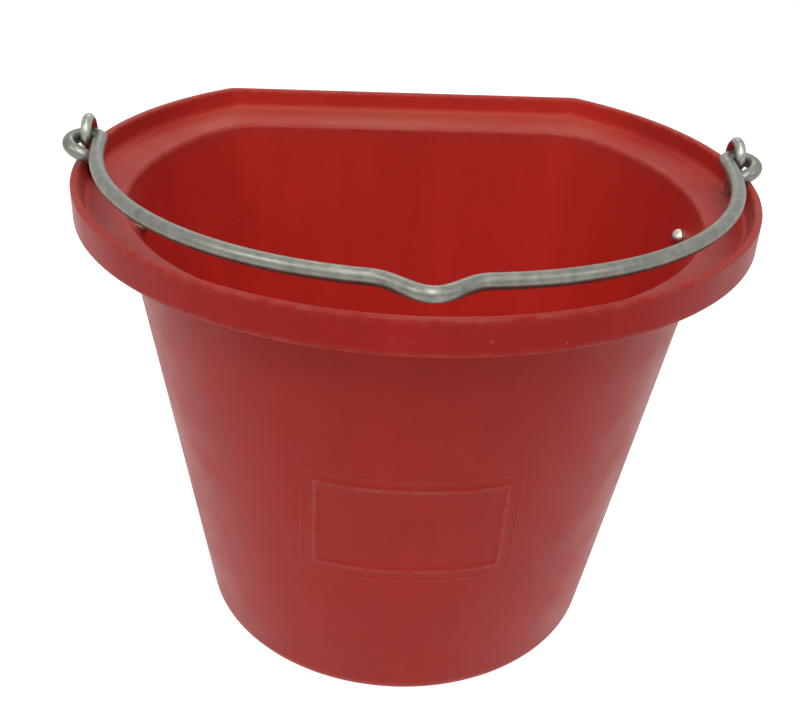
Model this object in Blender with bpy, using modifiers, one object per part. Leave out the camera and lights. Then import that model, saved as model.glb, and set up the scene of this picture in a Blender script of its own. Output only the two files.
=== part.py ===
"""Flat-backed stable feed bucket with a wire bail, in metres, +Z up.

The bucket stands on its foot ring at z = 0.  Its flat back faces +Y, so that it can hang flat
against a wall, and its round front faces -Y.  The bail lies forward over the mouth at rest.
"""

from math import acos, atan2, copysign, cos, pi, radians, sin, sqrt

import bmesh
import bpy
from mathutils import Matrix, Vector

# Driving dimensions of the bucket
RIM_RADIUS = 0.200          # round front and sides of the rim, outside
HEIGHT = 0.305              # floor to the top of the rim's lip
BACK_Y = 0.157              # flat back of the rim, from the centre of the rim's circle
RIM_CORNER = 0.012          # rim's outer corner radius, where the flat back meets the round
WALL = 0.004                # moulded wall thickness
LEDGE_WIDTH = 0.030         # rim outside to the mouth's edge

# Rim section, as depths below the top of the lip
LIP_THICKNESS = 0.0045
LIP_DEPTH = 0.012           # lip top down to the ledge
LEDGE_FALL = 0.005          # how far the ledge slopes down towards the mouth
SKIRT_DEPTH = 0.0195        # lip top down to the skirt's lower edge
MOUTH_CORNER = 0.038        # corner radius of the mouth

# Tapered body, outside
TOP_RADIUS = RIM_RADIUS - LEDGE_WIDTH + WALL
TOP_BACK_Y = BACK_Y - LEDGE_WIDTH + WALL
TOP_CORNER = MOUTH_CORNER + WALL
BASE_RADIUS = 0.1316
BASE_CENTRE_Y = 0.008
BASE_BACK_Y = 0.108
BASE_CORNER = 0.046
BASE_ROUNDING = 0.008
FOOT_WIDTH = 0.009
RECESS = 0.003
FLOOR_Z = 0.0075
FLOOR_FILLET = 0.006

# Plain raised frame on the front wall, a little left of the middle
PANEL_X = -0.0045
PANEL_Z = 0.1465
PANEL_WIDTH = 0.107
PANEL_HEIGHT = 0.066
PANEL_BAR = 0.0022
PANEL_RELIEF = 0.0008

# Bail and its eyes
HINGE_RISE = 0.0125         # hinge axis above the lip
HINGE_Z = HEIGHT + HINGE_RISE
HINGE_TILT = 0.0095         # radians; the eye at +X stands a little lower than the other
EYE_X = 0.1915
EYE_RADIUS = 0.0088         # centre of the eye's rod
ROD_RADIUS = 0.0032
WIRE_RADIUS = 0.0041
LEG_X = 0.1834              # centre line of each leg, at its loop
LOOP_RADIUS = 0.0089        # open loop around the eye
LOOP_TURN = 305             # degrees of turn in the loop
LOOP_DROP = 0.0095          # the loop's end lies below its leg
BOW_DEPTH = 0.1824          # reach of the bow from the hinge axis
BOW_FALL = 0.0019           # how far the front of the bow lies below the axis
BOW_SQUARENESS = 2.1        # 2 would be an ellipse
BOW_START = radians(4.5)    # where the bow leaves its loop
NOTCH_DEPTH = 0.014
NOTCH_HALF_WIDTH = 0.027
NOTCH_X = -0.0045

# Fixings of each eye through the wall
BOLT_DROP = 0.043           # bolt below the lip
BOLT_RADIUS = 0.003
HEAD_RADIUS = 0.006
HEAD_HEIGHT = 0.0055
TAB_THICKNESS = 0.003
TAB_WIDTH = 0.014
TAB_LENGTH = 0.018
NUT_FLATS = 0.010
NUT_HEIGHT = 0.005
BOLT_PROUD = 0.002          # bolt's end beyond the nut

GAP = 0.0003                # left between pieces that touch
HEAD_GAP = 0.0005           # flat head on the curved wall

# Steps of the outline, one count for every level so that levels join
BACK_STEPS = 2
CORNER_STEPS = 5
ROUND_STEPS = 56

# The rim's circle is centred here, so that bucket and bail together are centred on the origin
BAIL_REACH = BOW_DEPTH + NOTCH_DEPTH + WIRE_RADIUS
RIM_CENTRE_Y = (BAIL_REACH - BACK_Y) / 2


def clear_scene():
    for old in list(bpy.data.objects):
        bpy.data.objects.remove(old, do_unlink=True)


def new_collection(name):
    collection = bpy.data.collections.new(name)
    bpy.context.scene.collection.children.link(collection)
    return collection


def make_material(name, color, roughness, metallic):
    material = bpy.data.materials.new(name)
    material.use_nodes = True
    shader = material.node_tree.nodes["Principled BSDF"]
    shader.inputs["Base Color"].default_value = (*color, 1.0)
    shader.inputs["Roughness"].default_value = roughness
    shader.inputs["Metallic"].default_value = metallic
    return material


def put(obj, collection, parent=None, location=(0, 0, 0), rotation=(0, 0, 0)):
    """Move an object into a collection, and place it under its parent."""
    for home in list(obj.users_collection):
        home.objects.unlink(obj)
    collection.objects.link(obj)
    obj.parent = parent
    obj.location = location
    obj.rotation_euler = rotation
    return obj


def object_from_bmesh(name, bm):
    mesh = bpy.data.meshes.new(name)
    bm.to_mesh(mesh)
    bm.free()
    return bpy.data.objects.new(name, mesh)


def shade_round(obj, angle=40):
    obj.data.shade_smooth()
    obj.data.set_sharp_from_angle(angle=radians(angle))


def make_cutter(obj, collection, parent=None, location=(0, 0, 0), rotation=(0, 0, 0)):
    put(obj, collection, parent, location, rotation)
    obj.hide_render = True
    obj.display_type = "WIRE"
    return obj


def boolean(obj, other, operation):
    modifier = obj.modifiers.new(other.name, "BOOLEAN")
    modifier.operation = operation
    modifier.solver = "EXACT"
    modifier.object = other


def cylinder(name, radius, length, steps=20):
    """A cylinder on the z axis from z = 0 to its length."""
    bm = bmesh.new()
    bmesh.ops.create_cone(bm, cap_ends=True, segments=steps, radius1=radius, radius2=radius,
                          depth=length, matrix=Matrix.Translation((0, 0, length / 2)))
    return object_from_bmesh(name, bm)


# ---------------------------------------------------------------- bucket shell


def arc(centre_x, centre_y, radius, start, end, steps):
    """Points on an arc, without its last one."""
    points = []
    for i in range(steps):
        angle = start + (end - start) * i / steps
        points.append((centre_x + radius * cos(angle), centre_y + radius * sin(angle)))
    return points


def flat_backed_outline(radius, back_y, corner, centre_y):
    """A circle cut off by a straight back, with rounded corners, seen from above."""
    reach = back_y - corner - centre_y
    corner_x = sqrt((radius - corner) ** 2 - reach ** 2)
    turn = atan2(reach, corner_x)
    corner_y = back_y - corner
    points = []
    for i in range(BACK_STEPS):
        points.append((corner_x - 2 * corner_x * i / BACK_STEPS, back_y))
    points += arc(-corner_x, corner_y, corner, pi / 2, pi - turn, CORNER_STEPS)
    points += arc(0, centre_y, radius, pi - turn, 2 * pi + turn, ROUND_STEPS)
    points += arc(corner_x, corner_y, corner, turn, pi / 2, CORNER_STEPS)
    return points


def rim_level(inset, drop, corner):
    """The rim's outline, moved in by an inset and down from the top of the lip."""
    outline = flat_backed_outline(RIM_RADIUS - inset, BACK_Y - inset, corner, 0)
    return [Vector((x, y, HEIGHT - drop)) for x, y in outline]


WALL_TOP = HEIGHT - LIP_DEPTH - LEDGE_FALL - WALL


def body_level(z, inset):
    """The tapered body's outline at a height, moved in by an inset."""
    t = z / WALL_TOP
    radius = BASE_RADIUS + (TOP_RADIUS - BASE_RADIUS) * t
    back_y = BASE_BACK_Y + (TOP_BACK_Y - BASE_BACK_Y) * t
    corner = BASE_CORNER + (TOP_CORNER - BASE_CORNER) * t
    outline = flat_backed_outline(radius - inset, back_y - inset, corner - inset,
                                  BASE_CENTRE_Y * (1 - t))
    return [Vector((x, y, z)) for x, y in outline]


def loft(levels):
    """A closed solid through the levels, capped at the first and the last."""
    bm = bmesh.new()
    rings = [[bm.verts.new(point) for point in level] for level in levels]
    count = len(rings[0])
    for lower, upper in zip(rings, rings[1:]):
        for i in range(count):
            j = (i + 1) % count
            bm.faces.new((lower[i], lower[j], upper[j], upper[i]))
    bm.faces.new(reversed(rings[0]))
    bm.faces.new(rings[-1])
    return bm


def shell_levels():
    """Levels from under the base, up the outside, over the lip and down the inside."""
    levels = [
        body_level(RECESS, BASE_ROUNDING + FOOT_WIDTH + RECESS),
        body_level(0, BASE_ROUNDING + FOOT_WIDTH),
    ]
    for i in range(4):
        turn = i / 3 * pi / 2
        levels.append(body_level(BASE_ROUNDING * (1 - cos(turn)),
                                 BASE_ROUNDING * (1 - sin(turn))))
    wall_steps = 4
    for i in range(1, wall_steps + 1):
        z = BASE_ROUNDING + (WALL_TOP - BASE_ROUNDING) * i / wall_steps
        levels.append(body_level(z, 0))

    underside = LIP_DEPTH + WALL
    edge = 0.0008
    levels += [
        rim_level(LIP_THICKNESS, underside - 0.0005, 0.0075),
        rim_level(LIP_THICKNESS, SKIRT_DEPTH - edge, 0.0075),
        rim_level(LIP_THICKNESS - edge, SKIRT_DEPTH, 0.008),
        rim_level(edge, SKIRT_DEPTH, RIM_CORNER - edge),
        rim_level(0, SKIRT_DEPTH - edge, RIM_CORNER),
    ]
    crown = LIP_THICKNESS / 2 - 0.0005
    turns = [i / 2 * pi / 2 for i in range(3)]
    for turn in turns:
        inset = crown * (1 - cos(turn))
        levels.append(rim_level(inset, crown * (1 - sin(turn)), RIM_CORNER - inset))
    for turn in turns:
        inset = LIP_THICKNESS - crown * (1 - sin(turn))
        levels.append(rim_level(inset, crown * (1 - cos(turn)), RIM_CORNER - inset))
    levels += [
        rim_level(0.0058, LIP_DEPTH - 0.0025, 0.007),
        rim_level(0.0066, LIP_DEPTH - 0.0008, 0.007),
        rim_level(0.0085, LIP_DEPTH, 0.008),
        rim_level(LEDGE_WIDTH - 0.003, LIP_DEPTH + LEDGE_FALL - 0.0006, MOUTH_CORNER - 0.002),
        rim_level(LEDGE_WIDTH - 0.0009, LIP_DEPTH + LEDGE_FALL + 0.0006, MOUTH_CORNER),
    ]

    floor_edge = FLOOR_Z + FLOOR_FILLET
    inside_top = HEIGHT - LIP_DEPTH - LEDGE_FALL - 0.003
    for i in range(wall_steps + 1):
        z = inside_top + (floor_edge - inside_top) * i / wall_steps
        levels.append(body_level(z, WALL))
    for i in range(1, 4):
        turn = i / 3 * pi / 2
        levels.append(body_level(floor_edge - FLOOR_FILLET * sin(turn),
                                 WALL + FLOOR_FILLET * (1 - cos(turn))))
    return levels


def panel_bars(cutters, root):
    """Four bars through the front wall that leave a plain frame on its face."""
    half_width = PANEL_WIDTH / 2
    half_height = PANEL_HEIGHT / 2
    bm = bmesh.new()
    outer = [(-half_width, -half_height), (half_width, -half_height),
             (half_width, half_height), (-half_width, half_height)]
    shrink = [(1, 1), (-1, 1), (-1, -1), (1, -1)]
    inner = [(x + sx * PANEL_BAR, z + sz * PANEL_BAR) for (x, z), (sx, sz) in zip(outer, shrink)]
    front_y = -RIM_RADIUS
    back_y = -BASE_RADIUS * 0.6
    rings = []
    for y in (front_y, back_y):
        rings.append([[bm.verts.new((x, y, z)) for x, z in loop] for loop in (outer, inner)])
    (front_outer, front_inner), (back_outer, back_inner) = rings
    for i in range(4):
        j = (i + 1) % 4
        bm.faces.new((front_outer[i], front_outer[j], front_inner[j], front_inner[i]))
        bm.faces.new((back_outer[j], back_outer[i], back_inner[i], back_inner[j]))
        bm.faces.new((front_outer[j], front_outer[i], back_outer[i], back_outer[j]))
        bm.faces.new((front_inner[i], front_inner[j], back_inner[j], back_inner[i]))
    bars = object_from_bmesh("panel_bars", bm)
    return make_cutter(bars, cutters, root, (PANEL_X, 0, PANEL_Z))


def panel_skin(cutters, root, name, inset):
    """The body's taper over the height of the panel, moved in or out by an inset."""
    reach = PANEL_HEIGHT
    skin = object_from_bmesh(name, loft([body_level(PANEL_Z - reach, inset),
                                         body_level(PANEL_Z + reach, inset)]))
    return make_cutter(skin, cutters, root)


def make_shell(parts, cutters, root, plastic):
    shell = object_from_bmesh("bucket_shell", loft(shell_levels()))
    put(shell, parts, root)
    shell.data.materials.append(plastic)
    shade_round(shell, 35)

    bars = panel_bars(cutters, root)
    boolean(bars, panel_skin(cutters, root, "panel_front", -PANEL_RELIEF), "INTERSECT")
    boolean(bars, panel_skin(cutters, root, "panel_back", WALL / 2), "DIFFERENCE")
    boolean(shell, bars, "UNION")

    for side, name in ((-1, "left"), (1, "right")):
        hole = cylinder("shank_hole_" + name, ROD_RADIUS + GAP, 0.022)
        make_cutter(hole, cutters, root, (side * EYE_X, 0, HEIGHT - 0.026))
        boolean(shell, hole, "DIFFERENCE")
        hole = cylinder("bolt_hole_" + name, BOLT_RADIUS + GAP, 0.020)
        make_cutter(hole, cutters, bolt_frame(root, cutters, side, name), (0, 0, -0.010))
        boolean(shell, hole, "DIFFERENCE")
    return shell


# ---------------------------------------------------------------- eyes and fixings

BOLT_Z = HEIGHT - BOLT_DROP
WALL_SLOPE = atan2(TOP_RADIUS - BASE_RADIUS, WALL_TOP)
BOLT_X = BASE_RADIUS + (TOP_RADIUS - BASE_RADIUS) * BOLT_Z / WALL_TOP


def wall_rotation(side):
    """Turns +Z to point out of the side wall."""
    return (0, side * (pi / 2 + WALL_SLOPE), 0)


def bolt_frame(root, collection, side, name):
    """An empty on the wall's outer face, its z axis out along the bolt."""
    frame = bpy.data.objects.new("bolt_frame_" + name, None)
    return put(frame, collection, root, (side * BOLT_X, 0, BOLT_Z), wall_rotation(side))


def mesh_from_curve(curve):
    """The curve's swept tube as a closed mesh object, in the curve's place."""
    bpy.context.view_layer.update()
    graph = bpy.context.evaluated_depsgraph_get()
    mesh = bpy.data.meshes.new_from_object(curve.evaluated_get(graph))
    bm = bmesh.new()
    bm.from_mesh(mesh)
    bmesh.ops.remove_doubles(bm, verts=bm.verts, dist=0.00001)
    bm.to_mesh(mesh)
    bm.free()
    name = curve.name
    place = curve.matrix_world.copy()
    bpy.data.objects.remove(curve, do_unlink=True)
    obj = bpy.data.objects.new(name, mesh)
    obj.matrix_world = place
    return obj


def wire_curve(name, points, radius, resolution):
    curve = bpy.data.curves.new(name, "CURVE")
    curve.dimensions = "3D"
    curve.bevel_depth = radius
    curve.bevel_resolution = resolution
    curve.use_fill_caps = True
    spline = curve.splines.new("POLY")
    spline.points.add(len(points) - 1)
    for target, point in zip(spline.points, points):
        target.co = (*point, 1)
    return bpy.data.objects.new(name, curve)


def smooth_step(start, end, t):
    blend = t * t * (3 - 2 * t)
    return start + (end - start) * blend


def eye_height(side):
    return HINGE_Z - side * EYE_X * HINGE_TILT


def shank_points(side):
    """From inside the eye's rod, down through the ledge and in to the tab on the wall."""
    below = HEIGHT - SKIRT_DEPTH - 0.001
    points = [(side * EYE_X, 0, eye_height(side) - EYE_RADIUS)]
    tab_top = BOLT_Z + TAB_LENGTH / 2 - 0.003
    tab_x = BOLT_X + sin(WALL_SLOPE) * TAB_LENGTH / 2 + GAP + ROD_RADIUS + 0.0006
    for i in range(6):
        t = i / 5
        points.append((side * smooth_step(EYE_X, tab_x, t), 0, below + (tab_top - below) * t))
    return points


def make_eye(parts, cutters, root, side, name, zinc):
    """A rod eye over the ledge with a shank through it and a flat tab on the wall."""
    bpy.ops.mesh.primitive_torus_add(major_radius=EYE_RADIUS, minor_radius=ROD_RADIUS,
                                     major_segments=36, minor_segments=12)
    eye = bpy.context.active_object
    eye.name = "eye_" + name
    eye.data.name = eye.name
    put(eye, parts, root, (side * EYE_X, 0, eye_height(side)), (0, pi / 2 + HINGE_TILT, 0))
    eye.data.materials.append(zinc)

    shank = mesh_from_curve(wire_curve("shank_" + name, shank_points(side), ROD_RADIUS, 3))
    make_cutter(shank, cutters, root)
    boolean(eye, shank, "UNION")

    bm = bmesh.new()
    bmesh.ops.create_cube(bm, size=1)
    bmesh.ops.scale(bm, vec=(TAB_LENGTH, TAB_WIDTH, TAB_THICKNESS), verts=bm.verts)
    corners = [edge for edge in bm.edges
               if abs(edge.verts[0].co.z - edge.verts[1].co.z) > TAB_THICKNESS / 2]
    bmesh.ops.bevel(bm, geom=corners, offset=TAB_WIDTH * 0.4, segments=5, profile=0.5,
                    affect="EDGES")
    tab = object_from_bmesh("tab_" + name, bm)
    wall = bolt_frame(root, cutters, side, "tab_" + name)
    make_cutter(tab, cutters, wall, (0, 0, GAP + TAB_THICKNESS / 2))
    boolean(eye, tab, "UNION")

    hole = cylinder("tab_hole_" + name, BOLT_RADIUS + GAP, 0.012)
    make_cutter(hole, cutters, wall, (0, 0, -0.004))
    boolean(eye, hole, "DIFFERENCE")
    shade_round(eye)
    return eye


def make_bolt(parts, cutters, root, side, name, zinc):
    """Dome-headed bolt, head inside the bucket, turned about its own axis."""
    inside = -(WALL / cos(WALL_SLOPE) + HEAD_GAP)
    end = GAP + TAB_THICKNESS + GAP + NUT_HEIGHT + BOLT_PROUD
    dome = (HEAD_RADIUS ** 2 + HEAD_HEIGHT ** 2) / (2 * HEAD_HEIGHT)
    half_angle = acos((dome - HEAD_HEIGHT) / dome)
    chamfer = 0.0006
    profile = [(0, end), (BOLT_RADIUS - chamfer, end), (BOLT_RADIUS, end - chamfer),
               (BOLT_RADIUS, inside), (HEAD_RADIUS, inside)]
    steps = 5
    for i in range(1, steps + 1):
        angle = half_angle * (1 - i / steps)
        profile.append((dome * sin(angle), inside - HEAD_HEIGHT + dome * (1 - cos(angle))))
    profile[-1] = (0, inside - HEAD_HEIGHT)

    bm = bmesh.new()
    verts = [bm.verts.new((x, 0, z)) for x, z in profile]
    for first, second in zip(verts, verts[1:]):
        bm.edges.new((first, second))
    bolt = object_from_bmesh("bolt_" + name, bm)
    frame = bolt_frame(root, cutters, side, "bolt_" + name)
    put(bolt, parts, frame)
    screw = bolt.modifiers.new("turn", "SCREW")
    screw.axis = "Z"
    screw.steps = 20
    screw.render_steps = 20
    screw.use_merge_vertices = True
    screw.merge_threshold = 0.00001
    screw.use_smooth_shade = True
    bolt.data.materials.append(zinc)
    return bolt


def make_nut(parts, cutters, root, side, name, zinc):
    radius = NUT_FLATS / 2 / cos(pi / 6)
    nut = cylinder("nut_" + name, radius, NUT_HEIGHT, steps=6)
    frame = bolt_frame(root, cutters, side, "nut_" + name)
    base = GAP + TAB_THICKNESS + GAP
    put(nut, parts, frame, (0, 0, base))
    nut.data.materials.append(zinc)
    hole = cylinder("nut_hole_" + name, BOLT_RADIUS + GAP, NUT_HEIGHT + 0.004)
    make_cutter(hole, cutters, frame, (0, 0, base - 0.002))
    boolean(nut, hole, "DIFFERENCE")
    return nut


# ---------------------------------------------------------------- bail


def notch(x):
    """Extra reach of the hand notch in the middle of the bow."""
    away = abs(x - NOTCH_X) / NOTCH_HALF_WIDTH
    return NOTCH_DEPTH * (1 + cos(pi * away)) / 2 if away < 1 else 0.0


def bail_points():
    """Centre line from one loop to the other, about the hinge axis; each loop drops as it turns."""
    loop_steps = 18
    loop = []
    for i in range(loop_steps + 1):
        turned = 1 - i / loop_steps
        angle = pi + radians(LOOP_TURN) * turned
        loop.append((LEG_X + LOOP_RADIUS * (1 + cos(angle)),
                     -EYE_RADIUS - LOOP_RADIUS * sin(angle),
                     -LOOP_DROP * turned ** 3))
    bow_steps = 110
    power = 2 / BOW_SQUARENESS
    bow = []
    for i in range(bow_steps + 1):
        angle = BOW_START + (pi - 2 * BOW_START) * i / bow_steps
        x = copysign(LEG_X * abs(cos(angle)) ** power, cos(angle))
        y = -BOW_DEPTH * sin(angle) ** power - notch(x)
        bow.append((x, y, BOW_FALL * y / BOW_DEPTH))
    other_loop = [(-x, y, z) for x, y, z in reversed(loop)]
    return loop + bow + other_loop


def make_bail(parts, root, steel):
    hinge = bpy.data.objects.new("bail_hinge", None)
    put(hinge, parts, root, (0, 0, HINGE_Z), (0, HINGE_TILT, 0))
    bail = wire_curve("bail_handle", bail_points(), WIRE_RADIUS, 2)
    put(bail, parts, hinge)
    bail.data.materials.append(steel)
    return bail


def main():
    clear_scene()
    parts = new_collection("feed_bucket")
    cutters = new_collection("feed_bucket_cutters")
    plastic = make_material("red_plastic", (0.36, 0.022, 0.018), 0.38, 0.0)
    steel = make_material("galvanised_wire", (0.40, 0.40, 0.36), 0.45, 1.0)
    zinc = make_material("bright_zinc", (0.62, 0.62, 0.58), 0.25, 1.0)

    root = bpy.data.objects.new("bucket_root", None)
    put(root, parts, None, (0, RIM_CENTRE_Y, 0))
    make_shell(parts, cutters, root, plastic)
    make_bail(parts, root, steel)
    for side, name in ((-1, "left"), (1, "right")):
        make_eye(parts, cutters, root, side, name, zinc)
        make_bolt(parts, cutters, root, side, name, zinc)
        make_nut(parts, cutters, root, side, name, zinc)


main()
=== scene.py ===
from math import acos, atan2, cos, pi, radians, sin, sqrt, tan

import bmesh
import bpy
import numpy as np
from mathutils import Matrix, Vector


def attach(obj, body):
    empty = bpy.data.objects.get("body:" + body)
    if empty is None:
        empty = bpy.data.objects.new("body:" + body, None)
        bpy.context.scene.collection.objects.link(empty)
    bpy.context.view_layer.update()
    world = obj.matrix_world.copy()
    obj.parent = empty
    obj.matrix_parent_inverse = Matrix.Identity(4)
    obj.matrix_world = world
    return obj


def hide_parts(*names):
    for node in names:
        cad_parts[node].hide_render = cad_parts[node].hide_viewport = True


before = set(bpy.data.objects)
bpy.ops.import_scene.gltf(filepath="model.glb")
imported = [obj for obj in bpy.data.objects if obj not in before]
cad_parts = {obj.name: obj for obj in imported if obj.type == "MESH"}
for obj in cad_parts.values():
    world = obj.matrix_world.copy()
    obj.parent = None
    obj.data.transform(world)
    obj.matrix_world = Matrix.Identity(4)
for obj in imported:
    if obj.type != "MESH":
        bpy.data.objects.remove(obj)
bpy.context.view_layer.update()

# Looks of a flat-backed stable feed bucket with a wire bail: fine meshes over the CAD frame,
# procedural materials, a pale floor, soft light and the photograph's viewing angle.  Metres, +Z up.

# Bucket, the same sizes as the CAD
RIM_RADIUS = 0.200
HEIGHT = 0.305
BACK_Y = 0.157
RIM_CORNER = 0.012
WALL = 0.004
LEDGE_WIDTH = 0.030
LIP_THICKNESS = 0.0045
LIP_DEPTH = 0.012
LEDGE_FALL = 0.005
SKIRT_DEPTH = 0.0195
MOUTH_CORNER = 0.038
TOP_RADIUS = RIM_RADIUS - LEDGE_WIDTH + WALL
TOP_BACK_Y = BACK_Y - LEDGE_WIDTH + WALL
TOP_CORNER = MOUTH_CORNER + WALL
WALL_TOP = HEIGHT - LIP_DEPTH - LEDGE_FALL - WALL
BASE_RADIUS = 0.1316
BASE_CENTRE_Y = 0.008
BASE_BACK_Y = 0.108
BASE_CORNER = 0.046
BASE_ROUNDING = 0.008
FOOT_WIDTH = 0.009
RECESS = 0.003
FLOOR_Z = 0.0075
FLOOR_FILLET = 0.006
RIM_CENTRE_Y = 0.02175      # the rim's circle, from the row's origin

# Plain frame moulded on the front wall
PANEL_X = -0.0045
PANEL_Z = 0.1465
PANEL_WIDTH = 0.107
PANEL_HEIGHT = 0.066
PANEL_BAR = 0.0022
PANEL_RELIEF = 0.0008
INSERT_MARGIN = 0.0065      # faint line of the mould insert, outside the frame
INSERT_BAR = 0.0012
INSERT_RELIEF = 0.00015
# Partly wear, partly painted highlight: the frame's crest is painted pale along the bars
FRAME_WEAR_AND_HIGHLIGHT = 0.95           # how pale the frame's crest has been rubbed

# Bail, eyes and fixings
HINGE_Z = HEIGHT + 0.0125
HINGE_TILT = 0.0095         # radians; the right eye stands a little lower than the left one
EYE_X = 0.1915
EYE_RADIUS = 0.0088
ROD_RADIUS = 0.0032
WIRE_RADIUS = 0.0041
LEG_X = 0.1834
LOOP_RADIUS = 0.0089
LOOP_TURN = 305
LOOP_DROP = 0.0095
BOW_DEPTH = 0.1824
BOW_FALL = 0.0019
BOW_SQUARENESS = 2.1
BOW_START = radians(4.5)
NOTCH_DEPTH = 0.014
NOTCH_HALF_WIDTH = 0.027
NOTCH_X = -0.0045
BOLT_Z = HEIGHT - 0.043
BOLT_RADIUS = 0.003
HEAD_RADIUS = 0.006
HEAD_HEIGHT = 0.0055
TAB_THICKNESS = 0.003
TAB_WIDTH = 0.014
TAB_LENGTH = 0.018
NUT_FLATS = 0.010
NUT_HEIGHT = 0.005
BOLT_PROUD = 0.002
THREAD_PITCH = 0.001
GAP = 0.0003
HEAD_GAP = 0.0005
WALL_SLOPE = atan2(TOP_RADIUS - BASE_RADIUS, WALL_TOP)
BOLT_X = BASE_RADIUS + (TOP_RADIUS - BASE_RADIUS) * BOLT_Z / WALL_TOP

TO_ROW = Vector((0, RIM_CENTRE_Y, 0))


# ---------------------------------------------------------------- mesh helpers


def link(obj):
    bpy.context.scene.collection.objects.link(obj)
    return obj


def mesh_object(name, verts, faces):
    mesh = bpy.data.meshes.new(name)
    mesh.from_pydata([tuple(v) for v in verts], [], faces)
    mesh.validate()
    return link(bpy.data.objects.new(name, mesh))


def object_from_bmesh(name, bm):
    mesh = bpy.data.meshes.new(name)
    bm.to_mesh(mesh)
    bm.free()
    return link(bpy.data.objects.new(name, mesh))


def apply_modifiers(obj):
    graph = bpy.context.evaluated_depsgraph_get()
    mesh = bpy.data.meshes.new_from_object(obj.evaluated_get(graph))
    obj.modifiers.clear()
    obj.data = mesh
    return obj


def carve(obj, cutters, operation="DIFFERENCE"):
    """Cut or fuse with each cutter by a Boolean, then remove the cutters."""
    for cutter in cutters:
        modifier = obj.modifiers.new("carve", "BOOLEAN")
        modifier.operation = operation
        modifier.solver = "EXACT"
        modifier.object = cutter
    apply_modifiers(obj)
    for cutter in cutters:
        bpy.data.objects.remove(cutter, do_unlink=True)
    return obj


def clean(obj, distance):
    """Merge points that lie on each other and remove the empty faces between them."""
    bm = bmesh.new()
    bm.from_mesh(obj.data)
    bmesh.ops.remove_doubles(bm, verts=bm.verts, dist=distance)
    bmesh.ops.dissolve_degenerate(bm, dist=distance, edges=bm.edges)
    bm.to_mesh(obj.data)
    bm.free()


def shade(obj, angle=35):
    obj.data.shade_smooth()
    obj.data.set_sharp_from_angle(angle=radians(angle))
    return obj


def tube(name, points, radii, sides, dents=0.0, seed=0):
    """A closed tube swept along points, with a radius for each and no twist.

    The dents are slow waves along the tube, with one to three of them round it."""
    points = [Vector(p) for p in points]
    rng = np.random.default_rng(seed)
    phases = rng.uniform(0, 2 * pi, (6, 3))
    tangents = []
    for i in range(len(points)):
        ahead = points[min(i + 1, len(points) - 1)]
        behind = points[max(i - 1, 0)]
        tangents.append((ahead - behind).normalized())
    normal = tangents[0].orthogonal().normalized()
    rings = []
    along = 0.0
    for i, (point, tangent) in enumerate(zip(points, tangents)):
        normal = (normal - tangent * normal.dot(tangent)).normalized()
        across = tangent.cross(normal)
        if i:
            along += (point - points[i - 1]).length
        for k in range(sides):
            angle = 2 * pi * k / sides
            bump = 0.0
            for n, (a, b, c) in enumerate(phases):
                bump += sin(along * (25 + 22 * n) + a) * cos((n % 3 + 1) * angle + b) * cos(c)
            radius = radii[i] + dents * bump / 3
            rings.append(point + radius * (normal * cos(angle) + across * sin(angle)))
    count = len(points)
    faces = []
    for i in range(count - 1):
        for k in range(sides):
            j = (k + 1) % sides
            faces.append((i * sides + k, i * sides + j,
                          (i + 1) * sides + j, (i + 1) * sides + k))
    faces.append(tuple(reversed(range(sides))))
    faces.append(tuple((count - 1) * sides + k for k in range(sides)))
    return mesh_object(name, rings, faces)


def resample(points, spacing):
    """Points at an even spacing along a path."""
    points = np.array(points, float)
    steps = np.linalg.norm(np.diff(points, axis=0), axis=1)
    travelled = np.concatenate([[0], np.cumsum(steps)])
    count = int(travelled[-1] / spacing) + 1
    wanted = np.linspace(0, travelled[-1], count)
    return np.stack([np.interp(wanted, travelled, points[:, k]) for k in range(3)], axis=1)


def rounded_radii(count, radius, spacing, rounding):
    """Radii for a tube whose two ends are rounded over."""
    radii = []
    for i in range(count):
        end = min(i, count - 1 - i) * spacing
        short = max(0.0, rounding - end) / rounding
        radii.append(radius - rounding * (1 - sqrt(1 - min(short, 0.995) ** 2)))
    return radii


def smooth_step(start, end, t):
    blend = t * t * (3 - 2 * t)
    return start + (end - start) * blend


def cylinder(name, radius, low, high, sides=48, matrix=None):
    bm = bmesh.new()
    bmesh.ops.create_cone(bm, cap_ends=True, segments=sides, radius1=radius, radius2=radius,
                          depth=high - low, matrix=Matrix.Translation((0, 0, (low + high) / 2)))
    if matrix:
        bmesh.ops.transform(bm, matrix=matrix, verts=bm.verts)
    return object_from_bmesh(name, bm)


# ---------------------------------------------------------------- bucket shell

SIDE_COLUMNS = 72
CORNER_COLUMNS = 9
BACK_COLUMNS = 26
WALL_ROW_STEP = 0.0075      # coarse rows on the wall and columns on its front
FRONT_COLUMN_STEP = 0.0036
MARK_REACH = 0.0017         # fine rows and columns on each side of a moulded line
MARK_STEP = 0.00034
ROUNDING_ROWS = 7
MOST_OF_SIDE = 0.45         # the largest share of a side that a rounding may take
WAVE_DEPTH = 0.00016
FRAME_FRONT_Y = -0.05       # the frame is moulded only in front of this
# Painted highlight: pale tan on the back of the ledge, from here backwards
HIGHLIGHT_START_Y = 0.10
HIGHLIGHT_FADE = 0.04
# Painted light: the back ledge gets part of the brightening painted inside the bucket
BACK_LEDGE_PAINTED_LIGHT = 0.7       # how far the back ledge shares the inside's brighter red


def graded(low, high, coarse, marks, reach, fine):
    """Positions from low to high at a coarse step, with fine steps around each mark."""
    values = list(np.linspace(low, high, int((high - low) / coarse) + 1))
    for mark in marks:
        values = [v for v in values if abs(v - mark) > reach + coarse * 0.3
                  or v in (values[0], values[-1])]
        steps = int(round(2 * reach / fine))
        values += [mark - reach + 2 * reach * i / steps for i in range(steps + 1)]
    return np.array(sorted(values))


def panel_marks(centre, size):
    """Centres of the frame's two bars and of the insert's two lines, along one direction."""
    frame_half = (size - PANEL_BAR) / 2
    insert_half = size / 2 + INSERT_MARGIN
    return [centre + side * half for side in (-1, 1) for half in (frame_half, insert_half)]


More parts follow.
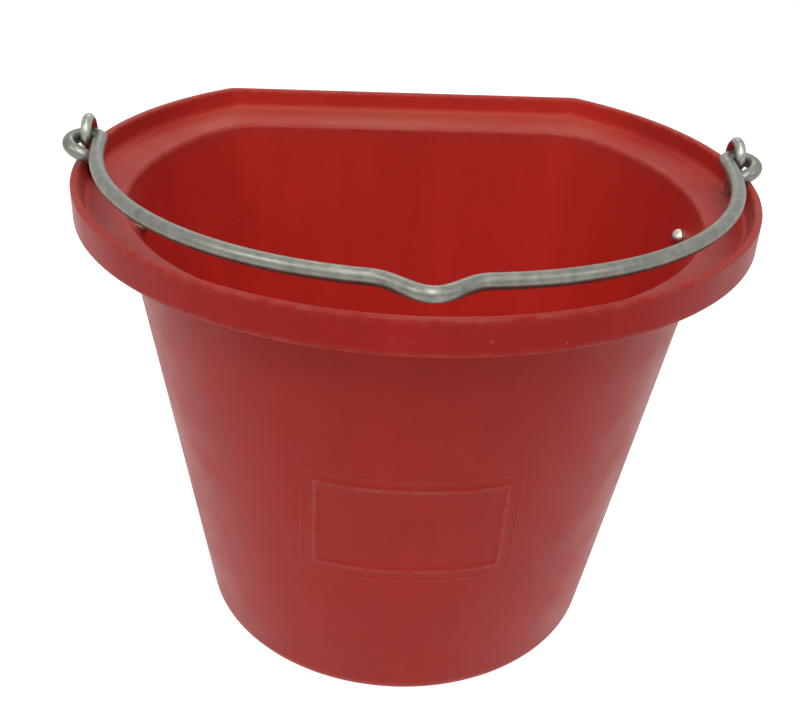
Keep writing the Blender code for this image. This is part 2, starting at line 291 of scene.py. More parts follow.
FRONT_REACH = PANEL_WIDTH / 2 + 0.012
FRONT_X = graded(PANEL_X - FRONT_REACH, PANEL_X + FRONT_REACH, FRONT_COLUMN_STEP,
                 panel_marks(PANEL_X, PANEL_WIDTH), MARK_REACH, MARK_STEP)


def outline(radius, back_y, corner, centre_y):
    """A circle cut off by a straight back with rounded corners; its front columns keep their x."""
    reach = back_y - corner - centre_y
    corner_x = sqrt((radius - corner) ** 2 - reach ** 2)
    turn = atan2(reach, corner_x)
    corner_y = back_y - corner
    back_x = np.linspace(corner_x, -corner_x, BACK_COLUMNS, endpoint=False)
    back = np.stack([back_x, np.full_like(back_x, back_y)], axis=1)

    def arc(x, y, r, angles):
        return np.stack([x + r * np.cos(angles), y + r * np.sin(angles)], axis=1)

    left = arc(-corner_x, corner_y, corner,
               np.linspace(pi / 2, pi - turn, CORNER_COLUMNS, endpoint=False))
    front = 1.5 * pi + np.arcsin(FRONT_X / radius)
    before = np.linspace(pi - turn, front[0], SIDE_COLUMNS, endpoint=False)
    after = np.linspace(front[-1], 2 * pi + turn, SIDE_COLUMNS + 1)[1:-1]
    round_part = arc(0, centre_y, radius, np.concatenate([before, front, after]))
    right = arc(corner_x, corner_y, corner,
                np.linspace(turn, pi / 2, CORNER_COLUMNS, endpoint=False))
    return np.concatenate([back, left, round_part, right])


def body(z, inset):
    """Radius, back, corner, centre and height of the tapered body, moved in by an inset."""
    t = z / WALL_TOP
    return np.array([
        BASE_RADIUS + (TOP_RADIUS - BASE_RADIUS) * t - inset,
        BASE_BACK_Y + (TOP_BACK_Y - BASE_BACK_Y) * t - inset,
        BASE_CORNER + (TOP_CORNER - BASE_CORNER) * t - inset,
        BASE_CENTRE_Y * (1 - t),
        z,
    ])


def rim(inset, drop, corner):
    return np.array([RIM_RADIUS - inset, BACK_Y - inset, corner, 0.0, HEIGHT - drop])


def section():
    """Levels from under the base, up the outside, over the lip and down to the floor.

    Each level is (radius, back, corner, centre, height, wear_and_highlight); it is 1 on a worn
    edge, and along the lip's crest its paleness is partly a painted highlight."""
    foot = BASE_ROUNDING + FOOT_WIDTH
    wall_marks = panel_marks(PANEL_Z, PANEL_HEIGHT)
    wall_heights = graded(BASE_ROUNDING + 0.001, WALL_TOP - 0.004, WALL_ROW_STEP, wall_marks,
                          MARK_REACH, MARK_STEP)
    # corner of the section, how far its rounding reaches, rows on the way there, wear and painted
    # highlight
    corners = [
        (body(RECESS, foot + 0.010), 0, 1, 0),
        (body(RECESS, foot + 0.0012), 0.0012, 2, 0),
        (body(0, foot), 0.0012, 1, 1.0),
        (body(0, 0), BASE_ROUNDING, 2, 0.8),
        (body(WALL_TOP, 0), 0.0025, wall_heights, 0),
        (rim(LIP_THICKNESS, LIP_DEPTH + WALL, 0.0075), 0.0015, 4, 0),
        (rim(LIP_THICKNESS, SKIRT_DEPTH, 0.0075), 0.0010, 1, 0.3),
        (rim(0, SKIRT_DEPTH, RIM_CORNER), 0.0016, 1, 1.0),
        (rim(0, 0, RIM_CORNER), 0.0013, 8, 1.0),
        (rim(LIP_THICKNESS, 0, 0.0085), 0.0017, 1, 1.0),
        (rim(0.0066, LIP_DEPTH, 0.007), 0.0032, 5, 0),
        (rim(LEDGE_WIDTH, LIP_DEPTH + LEDGE_FALL, MOUTH_CORNER), 0.0028, 9, 0.7),
        (body(FLOOR_Z, WALL), FLOOR_FILLET, 30, 0),
        (body(FLOOR_Z, WALL + 0.030), 0, 3, 0),
    ]
    levels = []
    for k, (corner, cut, rows, wear_and_highlight) in enumerate(corners):
        before = corners[k - 1][0] if k else corner
        after = corners[k + 1][0] if k + 1 < len(corners) else corner
        reach_in = min(cut, MOST_OF_SIDE * span(before, corner)) if k else 0
        start = step_towards(corner, before, reach_in)
        end = step_towards(corner, after, min(cut, MOST_OF_SIDE * span(corner, after)))
        if k:
            last = levels[-1][:5]
            if isinstance(rows, np.ndarray):
                shares = [(z - last[4]) / (start[4] - last[4]) for z in rows]
            else:
                shares = [i / rows for i in range(1, rows)]
            for share in shares:
                levels.append(np.append(last + (start - last) * share, 0.0))
        levels.append(np.append(start, wear_and_highlight * 0.5))
        if cut:
            for i in range(1, ROUNDING_ROWS + 1):
                t = i / ROUNDING_ROWS
                point = start * (1 - t) ** 2 + corner * 2 * t * (1 - t) + end * t ** 2
                levels.append(np.append(point, wear_and_highlight * (1 - abs(2 * t - 1) * 0.5)))
    return levels


def span(a, b):
    """Distance between two levels in the section's plane."""
    return sqrt((a[0] - b[0]) ** 2 + (a[4] - b[4]) ** 2)


def step_towards(a, b, distance):
    length = span(a, b)
    return a + (b - a) * (distance / length) if length > 0 else a.copy()


def moulding_waves(x, y, z):
    """Slight unevenness of a thick moulding, in metres, mostly up and down the wall."""
    rng = np.random.default_rng(11)
    angle = np.arctan2(y, x)
    waves = np.zeros_like(x)
    for turns in (3, 5, 8, 13, 21):
        tilt = rng.uniform(-18, 18)
        phase = rng.uniform(0, 2 * pi)
        waves += np.sin(turns * angle + tilt * z + phase) / sqrt(turns)
    return waves * WAVE_DEPTH


def frame_relief(x, z):
    """Height of the plain frame and of the faint insert line on the front wall."""

    def band(width, height, bar, shoulder):
        away = np.maximum(np.abs(x - PANEL_X) - width / 2, np.abs(z - PANEL_Z) - height / 2)
        t = np.clip((bar / 2 + shoulder - np.abs(away)) / (2 * shoulder), 0, 1)
        return t * t * (3 - 2 * t)

    frame_band = band(PANEL_WIDTH - PANEL_BAR, PANEL_HEIGHT - PANEL_BAR, PANEL_BAR, 0.0004)
    insert_band = band(PANEL_WIDTH + 2 * INSERT_MARGIN, PANEL_HEIGHT + 2 * INSERT_MARGIN,
                       INSERT_BAR, 0.0005)
    return PANEL_RELIEF * frame_band + INSERT_RELIEF * insert_band


def build_shell():
    levels = section()
    rows = shell_rows(levels)
    columns = len(rows[0][0])
    points = [np.column_stack([ring + outward * lift[:, None], np.full(columns, level[4])])
              for (ring, outward, lift, _), level in zip(rows, levels)]
    faces = []
    for k in range(len(levels) - 1):
        for i in range(columns):
            j = (i + 1) % columns
            faces.append((k * columns + i, k * columns + j,
                          (k + 1) * columns + j, (k + 1) * columns + i))
    faces.append(tuple(reversed(range(columns))))
    faces.append(tuple(range((len(levels) - 1) * columns, len(levels) * columns)))
    shell = mesh_object("bucket_body", np.concatenate(points) + np.array(TO_ROW), faces)
    mark_zones(shell, levels, rows)

    cutters = []
    for side in (-1, 1):
        shank_place = Matrix.Translation(TO_ROW + Vector((side * EYE_X, 0, 0)))
        cutters.append(cylinder("shank_hole", ROD_RADIUS + GAP, HEIGHT - 0.026, HEIGHT - 0.004,
                                matrix=shank_place))
        cutters.append(cylinder("bolt_hole", BOLT_RADIUS + GAP, -0.010, 0.010,
                                matrix=bolt_matrix(side)))
    carve(shell, cutters)
    return shade(shell, 40)


def shell_rows(levels):
    """Each level's outline, its outward directions, how far it is lifted, and the frame's share."""
    wall_rows = outer_wall_rows(levels)
    rows = []
    for k, (radius, back_y, corner, centre_y, z, _) in enumerate(levels):
        ring = outline(radius, back_y, corner, centre_y)
        outward = ring - np.array([0, centre_y])
        outward /= np.linalg.norm(outward, axis=1)[:, None]
        height = np.full(len(ring), z)
        fade = np.clip((WALL_TOP - z) / 0.05, 0, 1) * np.clip(z / 0.03, 0, 1)
        lift = moulding_waves(ring[:, 0], ring[:, 1], height) * fade
        relief = np.zeros(len(ring))
        if k in wall_rows:
            relief = frame_relief(ring[:, 0], height) * (ring[:, 1] < FRAME_FRONT_Y)
        rows.append((ring, outward, lift + relief, relief / PANEL_RELIEF))
    return rows


def mark_zones(shell, levels, rows):
    """Store the worn edges, with a painted highlight along the crests, and where light and shade
    are painted: deeper red on the rim's outer face, brighter inside and a painted highlight on the
    back ledge.
    """
    columns = len(rows[0][0])
    # Worn edges; along the lip's crest the paleness is partly a painted highlight
    worn = np.repeat([level[5] for level in levels], columns)
    crest = np.concatenate([row[3] for row in rows]) * FRAME_WEAR_AND_HIGHLIGHT
    y = np.concatenate([row[0][:, 1] for row in rows])
    behind = np.clip((y - HIGHLIGHT_START_Y) / HIGHLIGHT_FADE, 0, 1)
    inside, ledge, within = np.repeat(inner_shares(levels), columns, axis=1)
    face = np.repeat([float(level[0] > RIM_RADIUS - 0.0008) for level in levels], columns)
    zones = {
        # Worn edges, with a painted highlight along the lip's crest and the frame's crest
        "wear_and_highlight": np.maximum(worn, crest),
        # Painted shade: the rim's outer face is painted deeper red, cancelling its pale sheen
        "rim_face": face,
        # Painted light: the inside, and part of the back ledge, are painted brighter
        "inside": np.maximum(inside, BACK_LEDGE_PAINTED_LIGHT * within * behind),
        # Painted highlight: pale tan on the back of the ledge
        "back_ledge_highlight": ledge * behind,
    }
    for name, share in zones.items():
        attribute = shell.data.attributes.new(name, "FLOAT", "POINT")
        attribute.data.foreach_set("value", share)


def inner_shares(levels):
    """How far each level is inside below the mouth, on the ledge, and past the lip's top."""
    heights = np.array([level[4] for level in levels])
    within = np.arange(len(levels)) > int(np.argmax(heights))
    ledge_top = HEIGHT - LIP_DEPTH
    mouth = ledge_top - LEDGE_FALL
    inside = within * np.clip((mouth - 0.001 - heights) / 0.004, 0, 1)
    ledge = within * np.clip((ledge_top + 0.001 - heights) / 0.001, 0, 1)
    return np.array([inside, ledge * (heights > mouth - 0.002), within])


def outer_wall_rows(levels):
    """Which levels lie on the outer wall, where the frame is moulded."""
    heights = [level[4] for level in levels]
    top = int(np.argmax(heights))
    return {k for k in range(top) if BASE_ROUNDING < heights[k] < WALL_TOP - 0.002
            and levels[k][0] < TOP_RADIUS + 0.0001}


def bolt_matrix(side):
    """From the bolt's own axis, +Z out of the wall, to the row."""
    place = Matrix.Translation(TO_ROW + Vector((side * BOLT_X, 0, BOLT_Z)))
    return place @ Matrix.Rotation(side * (pi / 2 + WALL_SLOPE), 4, "Y")


# ---------------------------------------------------------------- bail


def notch(x):
    away = abs(x - NOTCH_X) / NOTCH_HALF_WIDTH
    return NOTCH_DEPTH * (1 + cos(pi * away)) / 2 if away < 1 else 0.0


def bail_line():
    """Centre line from one loop to the other; each loop drops as it turns round the eye."""
    loop = []
    for i in range(81):
        turned = 1 - i / 80
        angle = pi + radians(LOOP_TURN) * turned
        loop.append((LEG_X + LOOP_RADIUS * (1 + cos(angle)),
                     -EYE_RADIUS - LOOP_RADIUS * sin(angle),
                     -LOOP_DROP * turned ** 3))
    power = 2 / BOW_SQUARENESS
    bow = []
    for i in range(601):
        angle = BOW_START + (pi - 2 * BOW_START) * i / 600
        share = cos(angle)
        x = LEG_X * abs(share) ** power * (1 if share > 0 else -1)
        y = -BOW_DEPTH * sin(angle) ** power - notch(x)
        bow.append((x, y, BOW_FALL * y / BOW_DEPTH))
    return loop + bow + [(-x, y, z) for x, y, z in reversed(loop)]


def build_bail():
    spacing = 0.0011
    line = resample(bail_line(), spacing)
    for _ in range(6):
        line[1:-1] = (line[:-2] + 2 * line[1:-1] + line[2:]) / 4
    turn = Matrix.Rotation(HINGE_TILT, 4, "Y")
    line = [TO_ROW + Vector((0, 0, HINGE_Z)) + turn @ Vector(point) for point in line]
    radii = rounded_radii(len(line), WIRE_RADIUS, spacing, 0.0014)
    bail = tube("bail_wire", line, radii, 28, dents=0.00004, seed=5)
    return shade(bail, 50)


# ---------------------------------------------------------------- eyes, bolts and nuts


def torus(bm, major, minor, matrix, turns=72, sides=24):
    rings = []
    for i in range(turns):
        around = 2 * pi * i / turns
        ring = []
        for k in range(sides):
            angle = 2 * pi * k / sides
            out = major + minor * cos(angle)
            point = Vector((out * cos(around), out * sin(around), minor * sin(angle)))
            ring.append(bm.verts.new(matrix @ point))
        rings.append(ring)
    for i in range(turns):
        for k in range(sides):
            a, b = rings[i], rings[(i + 1) % turns]
            j = (k + 1) % sides
            bm.faces.new((a[k], b[k], b[j], a[j]))


def eye_centre(side):
    return TO_ROW + Vector((side * EYE_X, 0, HINGE_Z - side * EYE_X * HINGE_TILT))


def shank_line(side):
    """From inside the ring, down through the ledge and in to the tab on the wall."""
    below = HEIGHT - SKIRT_DEPTH - 0.001
    tab_top = BOLT_Z + TAB_LENGTH / 2 - 0.003
    tab_x = BOLT_X + sin(WALL_SLOPE) * TAB_LENGTH / 2 + GAP + ROD_RADIUS + 0.0006
    points = [eye_centre(side) - TO_ROW - Vector((0, 0, EYE_RADIUS))]
    for i in range(13):
        t = i / 12
        points.append((side * smooth_step(EYE_X, tab_x, t), 0, below + (tab_top - below) * t))
    return [Vector(p) + TO_ROW for p in points]


def build_eye(side, name):
    """A ring over the ledge, its shank and a flattened tab, fused and softened as one forging."""
    bm = bmesh.new()
    ring_place = (Matrix.Translation(eye_centre(side))
                  @ Matrix.Rotation(pi / 2 + HINGE_TILT, 4, "Y"))
    torus(bm, EYE_RADIUS, ROD_RADIUS, ring_place)
    tab = bmesh.ops.create_cube(bm, size=1)["verts"]
    bmesh.ops.scale(bm, vec=(TAB_LENGTH, TAB_WIDTH, TAB_THICKNESS), verts=tab)
    corners = [e for e in bm.edges if e.verts[0] in tab and e.verts[1] in tab
               and abs(e.verts[0].co.z - e.verts[1].co.z) > TAB_THICKNESS / 2]
    made = bmesh.ops.bevel(bm, geom=corners, offset=TAB_WIDTH * 0.4, segments=8, profile=0.5,
                           affect="EDGES")
    tab = list({v for f in made["faces"] for v in f.verts} | {v for v in tab if v.is_valid})
    place = bolt_matrix(side) @ Matrix.Translation((0, 0, GAP + TAB_THICKNESS / 2))
    bmesh.ops.transform(bm, matrix=place, verts=tab)
    eye = object_from_bmesh("eye_rod_" + name, bm)
    line = resample(shank_line(side), 0.001)
    shank = tube("shank", line, [ROD_RADIUS] * len(line), 24)
    carve(eye, [shank], "UNION")
    remesh = eye.modifiers.new("fuse", "REMESH")
    remesh.mode = "VOXEL"
    remesh.voxel_size = 0.0004
    smooth = eye.modifiers.new("soften", "SMOOTH")
    smooth.factor = 0.5
    smooth.iterations = 5
    apply_modifiers(eye)
    hole = cylinder("tab_hole", BOLT_RADIUS + GAP, -0.004, 0.008, matrix=bolt_matrix(side))
    carve(eye, [hole])
    clean(eye, 0.000002)
    return shade(eye, 50)


def lathe(name, profile, sides, matrix, radius_at=None):
    """A solid turned about z from a profile of (radius, z) that starts and ends on the axis."""
    verts = [(0, 0, profile[0][1])]
    rings = []
    for radius, z in profile[1:-1]:
        ring = []
        for k in range(sides):
            angle = 2 * pi * k / sides
            r = radius_at(radius, z, angle) if radius_at else radius
            ring.append(len(verts))
            verts.append((r * cos(angle), r * sin(angle), z))
        rings.append(ring)
    verts.append((0, 0, profile[-1][1]))
    last = len(verts) - 1
    faces = []
    for k in range(sides):
        j = (k + 1) % sides
        faces.append((0, rings[0][k], rings[0][j]))
        faces.append((last, rings[-1][j], rings[-1][k]))
        for lower, upper in zip(rings, rings[1:]):
            faces.append((lower[k], upper[k], upper[j], lower[j]))
    obj = mesh_object(name, [matrix @ Vector(v) for v in verts], faces)
    bm = bmesh.new()
    bm.from_mesh(obj.data)
    bmesh.ops.recalc_face_normals(bm, faces=bm.faces)
    bm.to_mesh(obj.data)
    bm.free()
    return obj


def build_bolt(side, name):
    """Dome head inside the bucket, and a rolled thread from the wall out to its end."""
    inside = -(WALL / cos(WALL_SLOPE) + HEAD_GAP)
    end = GAP + TAB_THICKNESS + GAP + NUT_HEIGHT + BOLT_PROUD
    dome = (HEAD_RADIUS ** 2 + HEAD_HEIGHT ** 2) / (2 * HEAD_HEIGHT)
    half_angle = acos((dome - HEAD_HEIGHT) / dome)
    profile = [(0, end), (BOLT_RADIUS * 0.45, end), (BOLT_RADIUS * 0.8, end - 0.0001)]
    rows = int((end - 0.0004) / (THREAD_PITCH / 8))
    for i in range(rows + 1):
        profile.append((BOLT_RADIUS, end - 0.0006 - (end - 0.0006) * i / rows))
    profile += [(BOLT_RADIUS, inside + 0.0002), (BOLT_RADIUS, inside),
                (HEAD_RADIUS - 0.0005, inside), (HEAD_RADIUS - 0.0001, inside - 0.0002)]
    steps = 14
    for i in range(1, steps):
        angle = half_angle * (1 - i / steps)
        profile.append((dome * sin(angle), inside - HEAD_HEIGHT + dome * (1 - cos(angle))))
    profile.append((0, inside - HEAD_HEIGHT))

    def threaded(radius, z, angle):
        if radius != BOLT_RADIUS or z < 0.0003:
            return radius
        phase = (z / THREAD_PITCH - angle / (2 * pi)) % 1.0
        depth = 0.00055 * min(1.0, (end - z) / 0.0006) + 0.0001
        return radius - depth * (1 - abs(2 * phase - 1))

    bolt = lathe("bolt_dome_" + name, profile, 48, bolt_matrix(side), threaded)
    return shade(bolt, 40)


def build_nut(side, name):
    """Hexagonal nut, both faces chamfered to a circle."""
    base = GAP + TAB_THICKNESS + GAP
    corner = NUT_FLATS / 2 / cos(pi / 6)
    matrix = bolt_matrix(side)
    nut = cylinder("nut_hex_" + name, corner, base, base + NUT_HEIGHT, 6, matrix)
    chamfer = (corner - NUT_FLATS / 2) * tan(radians(30)) + 0.0002
    big = corner + 0.0005
    face = NUT_FLATS / 2 - 0.0001
    profile = [(0, base), (face, base), (big, base + chamfer + 0.0003),
               (big, base + NUT_HEIGHT - chamfer - 0.0003), (face, base + NUT_HEIGHT),
               (0, base + NUT_HEIGHT)]
    carve(nut, [lathe("nut_cone", profile, 64, matrix)], "INTERSECT")
    bore = cylinder("nut_bore", BOLT_RADIUS + GAP, base - 0.002, base + NUT_HEIGHT + 0.002,
                    matrix=matrix)
    carve(nut, [bore])
    clean(nut, 0.00003)
    bevel = nut.modifiers.new("worn", "BEVEL")
    bevel.width = 0.00015
    bevel.segments = 2
    bevel.limit_method = "ANGLE"
    bevel.angle_limit = radians(25)
    apply_modifiers(nut)
    clean(nut, 0.000002)
    return shade(nut, 30)


# ---------------------------------------------------------------- materials


class Shader:
    """A Principled material and short ways to add nodes to it."""

    def __init__(self, name):
        self.material = bpy.data.materials.new(name)
        self.material.use_nodes = True
        self.tree = self.material.node_tree
        self.main = self.tree.nodes["Principled BSDF"]
        self.coords = self.tree.nodes.new("ShaderNodeTexCoord").outputs["Object"]

    def add(self, kind, inputs=None, **settings):
        node = self.tree.nodes.new("ShaderNode" + kind)
        for key, value in settings.items():
            setattr(node, key, value)
        for key, value in (inputs or {}).items():
            self.set(node.inputs[key], value)
        return node

    def set(self, socket, value):
        if isinstance(value, bpy.types.NodeSocket):
            self.tree.links.new(value, socket)
        else:
            socket.default_value = value

    def mapped(self, scale):
        return self.add("Mapping", {"Vector": self.coords, "Scale": scale}).outputs["Vector"]

    def noise(self, scale, detail=2.0, roughness=0.5, vector=None, distortion=0.0):
        node = self.add("TexNoise", {"Vector": vector or self.coords, "Scale": scale,
                                     "Detail": detail, "Roughness": roughness,
                                     "Distortion": distortion})
        return node.outputs["Fac"]

    def spread(self, value, low, high, to_low=0.0, to_high=1.0):
        """The value from low to high, spread to a new range and held inside it."""
        node = self.add("MapRange", {"Value": value, "From Min": low, "From Max": high,
                                     "To Min": to_low, "To Max": to_high}, clamp=True)
        return node.outputs["Result"]

    def math(self, operation, a, b=0.0):
        node = self.add("Math", operation=operation)
        self.set(node.inputs[0], a)
        self.set(node.inputs[1], b)
        return node.outputs[0]

    def times(self, value, factor):
        return self.math("MULTIPLY", value, factor)

    def zone(self, name):
        """A share that the mesh stores at each point."""
        return self.add("Attribute", attribute_name=name).outputs["Fac"]

    def mix(self, factor, a, b, blend="MIX"):
        node = self.add("Mix", data_type="RGBA", blend_type=blend)
        self.set(node.inputs[0], factor)
        self.set(node.inputs[6], a)
        self.set(node.inputs[7], b)
        return node.outputs[2]

    def bump(self, height, distance, strength=1.0, normal=None):
        inputs = {"Height": height, "Distance": distance, "Strength": strength}
        if normal is not None:
            inputs["Normal"] = normal
        return self.add("Bump", inputs).outputs["Normal"]

    def finish(self, **inputs):
        for key, value in inputs.items():
            self.set(self.main.inputs[key.replace("_", " ")], value)
        return self.material


# Linear colours of the plastic; a tint multiplies the red below it, as painted light inside and
# painted shade on the rim's outer face
RED_DEEP = (0.560, 0.0320, 0.0245, 1)
RED_BRIGHT = (0.630, 0.0375, 0.0280, 1)
RED_GRAIN = (0.48, 0.0270, 0.0200, 1)
# Painted highlight: the pale tan of the back ledge
RED_PAINTED_HIGHLIGHT = (0.66, 0.190, 0.120, 1)
RED_SCUFFED = (0.70, 0.18, 0.15, 1)
RED_SPECK = (0.70, 0.24, 0.19, 1)
# Pale worn edges, partly a painted highlight along the crests
RED_RUBBED_AND_HIGHLIGHT = (0.66, 0.17, 0.14, 1)
# Painted light: a brighter, redder inside
INSIDE_PAINTED_LIGHT = (1.28, 1.36, 1.34, 1)
# Painted shade: deeper red on the rim's outer face, cancelling its pale sheen
RIM_FACE_PAINTED_SHADE = (0.93, 0.62, 0.64, 1)

# Linear colours of the metals
WIRE_DARK = (0.21, 0.215, 0.19, 1)
WIRE_PALE = (0.30, 0.305, 0.27, 1)
WIRE_STAIN = (0.13, 0.12, 0.10, 1)
TARNISH = (0.25, 0.23, 0.19, 1)
EYE_ZINC = ((0.44, 0.44, 0.40, 1), (0.33, 0.33, 0.30, 1))
BOLT_ZINC = ((0.58, 0.58, 0.49, 1), (0.44, 0.43, 0.36, 1))


def red_plastic():
    """Moulded polyethylene: mottled red, waxy gloss, scuffs, specks and worn edges, with painted
    light: a brighter inside, a deeper red rim face as painted shade, and painted highlights on the
    back ledge and along the crests.
    """
    s = Shader("red_polyethylene")
    clouds = s.noise(16, 3, 0.55)
    flow = s.noise(1, 3, 0.5, s.mapped((55, 55, 5)))
    grain = s.noise(420, 3, 0.6)
    tone = s.math("ADD", s.times(clouds, 0.6), s.times(flow, 0.4))
    colour = s.mix(s.spread(tone, 0.36, 0.64), RED_DEEP, RED_BRIGHT)
    colour = s.mix(s.spread(grain, 0.3, 0.75, 0, 0.22), colour, RED_GRAIN)
    # Painted light: the inside is painted brighter
    colour = s.mix(s.zone("inside"), colour, INSIDE_PAINTED_LIGHT, "MULTIPLY")
    # Painted shade: the rim's outer face is painted deeper red, cancelling its pale sheen
    colour = s.mix(s.zone("rim_face"), colour, RIM_FACE_PAINTED_SHADE, "MULTIPLY")
    # Painted highlight: pale tan over the back of the ledge
    painted_highlight = s.times(s.zone("back_ledge_highlight"), s.spread(s.noise(22, 4, 0.6), 0.3, 0.7, 0.25, 0.60))
    colour = s.mix(painted_highlight, colour, RED_PAINTED_HIGHLIGHT)

    patches = s.spread(s.noise(7, 2, 0.5), 0.50, 0.62)
    scratches = 0.0
    for tilt, scale in ((0.2, 34), (1.3, 27), (2.3, 41)):
        turned = s.add("Mapping", {"Vector": s.coords, "Rotation": (tilt, tilt * 0.7, tilt * 1.6),
                                   "Scale": (scale, scale * 14, scale * 1.3)})
        line = s.noise(1, 2, 0.5, turned.outputs["Vector"], distortion=0.25)
        scratches = s.math("MAXIMUM", scratches, s.spread(line, 0.70, 0.78))
    scuffed = s.times(scratches, patches)
    colour = s.mix(s.times(scuffed, 0.22), colour, RED_SCUFFED)

    cells = s.add("TexVoronoi", {"Vector": s.coords, "Scale": 85.0})
    specks = s.spread(cells.outputs["Distance"], 0.05, 0.10, 1, 0)
    chosen = s.spread(s.add("SeparateColor", {"Color": cells.outputs["Color"]}).outputs[0],
                      0.90, 0.92)
    specks = s.times(specks, chosen)
    colour = s.mix(s.times(specks, 0.35), colour, RED_SPECK)

    # Worn edges, partly a painted highlight along the lip's crest and the frame's crest
    rubbed_and_highlight = s.times(s.zone("wear_and_highlight"), s.spread(s.noise(130, 4, 0.65), 0.34, 0.60))
    colour = s.mix(s.times(rubbed_and_highlight, 0.50), colour, RED_RUBBED_AND_HIGHLIGHT)

    rough = s.spread(s.noise(34, 4, 0.6), 0.3, 0.7, 0.33, 0.45)
    rough = s.math("ADD", rough, s.times(scuffed, 0.16))
    rough = s.math("ADD", rough, s.times(rubbed_and_highlight, 0.10))

    normal = s.bump(s.noise(60, 2, 0.5), 0.0004, 0.30)
    normal = s.bump(s.noise(1, 2, 0.5, s.mapped((140, 140, 9))), 0.0003, 0.25, normal)
    normal = s.bump(s.noise(900, 2, 0.6), 0.00006, 0.35, normal)
    return s.finish(Base_Color=colour, Roughness=rough, Normal=normal, Specular_IOR_Level=0.15,
                    Sheen_Weight=0.085, Sheen_Roughness=0.25)


def galvanised_wire():
    """Dull zinc over drawn steel wire: pale grey blotches, fine lumps and darker stains."""
    s = Shader("galvanised_steel_wire")
    blotches = s.noise(170, 4, 0.6)
    stains = s.spread(s.noise(60, 4, 0.65), 0.52, 0.72)
    colour = s.mix(s.spread(blotches, 0.35, 0.65), WIRE_DARK, WIRE_PALE)
    colour = s.mix(s.times(stains, 0.35), colour, WIRE_STAIN)
    rough = s.spread(s.noise(240, 3, 0.6), 0.3, 0.7, 0.30, 0.42)
    normal = s.bump(s.noise(650, 3, 0.6), 0.00008, 0.20)
    return s.finish(Base_Color=colour, Roughness=rough, Normal=normal, Metallic=0.82)


def bright_zinc(name, pale, dark):
    """Zinc plate: bright, faintly clouded, with dull spots where it has begun to tarnish."""
    s = Shader(name)
    clouds = s.noise(220, 3, 0.55)
    spots = s.spread(s.noise(700, 4, 0.6), 0.58, 0.72)
    colour = s.mix(s.spread(clouds, 0.35, 0.65), pale, dark)
    colour = s.mix(s.times(spots, 0.5), colour, TARNISH)
    rough = s.math("ADD", s.spread(clouds, 0.3, 0.7, 0.26, 0.36), s.times(spots, 0.2))
    normal = s.bump(s.noise(900, 2, 0.5), 0.00005, 0.3)
    return s.finish(Base_Color=colour, Roughness=rough, Normal=normal, Metallic=1.0)


# ---------------------------------------------------------------- stage

# The floor and the world light the object at one level and are seen at a brighter one, so that
# the background is nearly white without washing out the red
FLOOR_GLOW = 0.09
FLOOR_GLOW_SEEN = 0.95
FLOOR_GLOW_IN_GLOSS = 0.76
WORLD_LIGHT = 0.07
WORLD_SEEN = 1.0
WORLD_IN_GLOSS = 0.85
FLOOR_SHADES = ((0.86, 0.86, 0.85, 1), (0.88, 0.88, 0.87, 1))
FLOOR_RADIUS = 30
WHITE = (1, 1, 1, 1)
NEUTRAL = (1.0, 0.985, 0.96)
WARM = (1.0, 0.93, 0.80)
BUCKET_MIDDLE = (0, 0, 0.2)

# name, place, target, size in metres, power in watts, colour
LIGHTS = (
    ("front_softbox", (0, -1.5, 1.9), BUCKET_MIDDLE, 1.0, 9.0, NEUTRAL),
    ("high_softbox", (0, -0.75, 2.2), BUCKET_MIDDLE, 0.9, 7.0, NEUTRAL),
    ("top_softbox", (0, 0.15, 2.4), BUCKET_MIDDLE, 1.2, 3.0, NEUTRAL),
    ("left_softbox", (-1.3, -0.9, 1.7), BUCKET_MIDDLE, 0.9, 6.0, NEUTRAL),
    ("right_softbox", (1.3, -0.9, 1.7), BUCKET_MIDDLE, 0.9, 2.8, NEUTRAL),
    ("back_softbox", (0, 1.6, 1.6), (0, 0, 0.25), 0.9, 3.2, WARM),
)


def seen_share(tree, lit, seen, in_gloss):
    """A strength that lights at one level, is seen at another and shows in gloss at a third."""
    path = tree.nodes.new("ShaderNodeLightPath")
    total = None
    for ray, level in (("Is Camera Ray", seen), ("Is Glossy Ray", in_gloss)):
        node = tree.nodes.new("ShaderNodeMath")
        node.operation = "MULTIPLY_ADD"
        tree.links.new(path.outputs[ray], node.inputs[0])
        node.inputs[1].default_value = level - lit
        node.inputs[2].default_value = lit
        if total is not None:
            tree.links.new(total, node.inputs[2])
        total = node.outputs[0]
    return total


def pale_floor():
    s = Shader("pale_floor")
    tone = s.spread(s.noise(1.5, 2, 0.5), 0.3, 0.7)
    colour = s.mix(tone, *FLOOR_SHADES)
    glow = seen_share(s.tree, FLOOR_GLOW, FLOOR_GLOW_SEEN, FLOOR_GLOW_IN_GLOSS)
    return s.finish(Base_Color=colour, Roughness=0.9, Specular_IOR_Level=0.0,
                    Emission_Color=WHITE, Emission_Strength=glow)


def build_stage():
    bm = bmesh.new()
    bmesh.ops.create_circle(bm, cap_ends=True, radius=FLOOR_RADIUS, segments=96)
    floor = object_from_bmesh("floor", bm)
    floor.data.materials.append(pale_floor())

    world = bpy.data.worlds.new("studio")
    world.use_nodes = True
    background = world.node_tree.nodes["Background"]
    background.inputs["Color"].default_value = WHITE
    strength = seen_share(world.node_tree, WORLD_LIGHT, WORLD_SEEN, WORLD_IN_GLOSS)
    world.node_tree.links.new(strength, background.inputs["Strength"])
    bpy.context.scene.world = world

    for light in LIGHTS:
        area(*light)


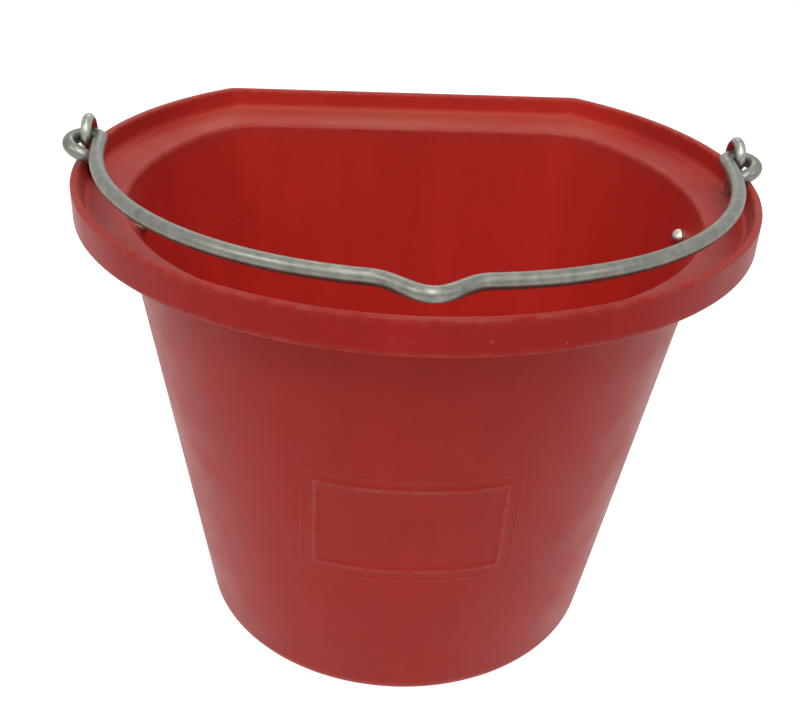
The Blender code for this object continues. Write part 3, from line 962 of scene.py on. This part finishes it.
def area(name, place, target, size, power, colour):
    light = bpy.data.lights.new(name, "AREA")
    light.shape = "DISK"
    light.size = size
    light.energy = power
    light.color = colour
    lamp = link(bpy.data.objects.new(name, light))
    lamp.location = place
    aim = Vector(target) - Vector(place)
    lamp.rotation_euler = aim.to_track_quat("-Z", "Y").to_euler()


# The photograph's view: metres, radians and millimetres
CAMERA_PLACE = (-0.04608, -0.60635, 0.52583)
CAMERA_HEIGHT_ANGLE = 0.5154
CAMERA_SIDE_ANGLE = -0.066
CAMERA_ROLL = 0.048
SENSOR_WIDTH = 36
LENS = 49.5


def build_camera():
    camera = bpy.data.cameras.new("camera")
    camera.sensor_width = SENSOR_WIDTH
    camera.lens = LENS
    camera.clip_start = 0.01
    holder = link(bpy.data.objects.new("camera", camera))
    up_angle, side_angle = CAMERA_HEIGHT_ANGLE, CAMERA_SIDE_ANGLE
    back = Vector((sin(side_angle) * cos(up_angle), -cos(side_angle) * cos(up_angle),
                   sin(up_angle)))
    level = (-back).cross(Vector((0, 0, 1))).normalized()
    up = level.cross(-back)
    right = cos(CAMERA_ROLL) * level + sin(CAMERA_ROLL) * up
    top = cos(CAMERA_ROLL) * up - sin(CAMERA_ROLL) * level
    matrix = Matrix((right, top, back)).transposed().to_4x4()
    matrix.translation = Vector(CAMERA_PLACE)
    holder.matrix_world = matrix
    bpy.context.scene.camera = holder


# ---------------------------------------------------------------- the scene


def dress(obj, material, body_name, node):
    obj.data.materials.clear()
    obj.data.materials.append(material)
    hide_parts(node)
    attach(obj, body_name)


def main():
    plastic = red_plastic()
    wire = galvanised_wire()
    zinc = bright_zinc("bright_zinc_eye", *EYE_ZINC)
    bolt_zinc = bright_zinc("bright_zinc_bolt", *BOLT_ZINC)
    dress(build_shell(), plastic, "bucket", "bucket_shell")
    dress(build_bail(), wire, "bail", "bail_handle")
    for side, name in ((-1, "left"), (1, "right")):
        dress(build_eye(side, name), zinc, "bucket", "eye_" + name)
        dress(build_bolt(side, name), bolt_zinc, "bucket", "bolt_" + name)
        dress(build_nut(side, name), bolt_zinc, "bucket", "nut_" + name)
    build_stage()
    build_camera()
    bpy.context.scene.view_settings.view_transform = "Standard"


main()
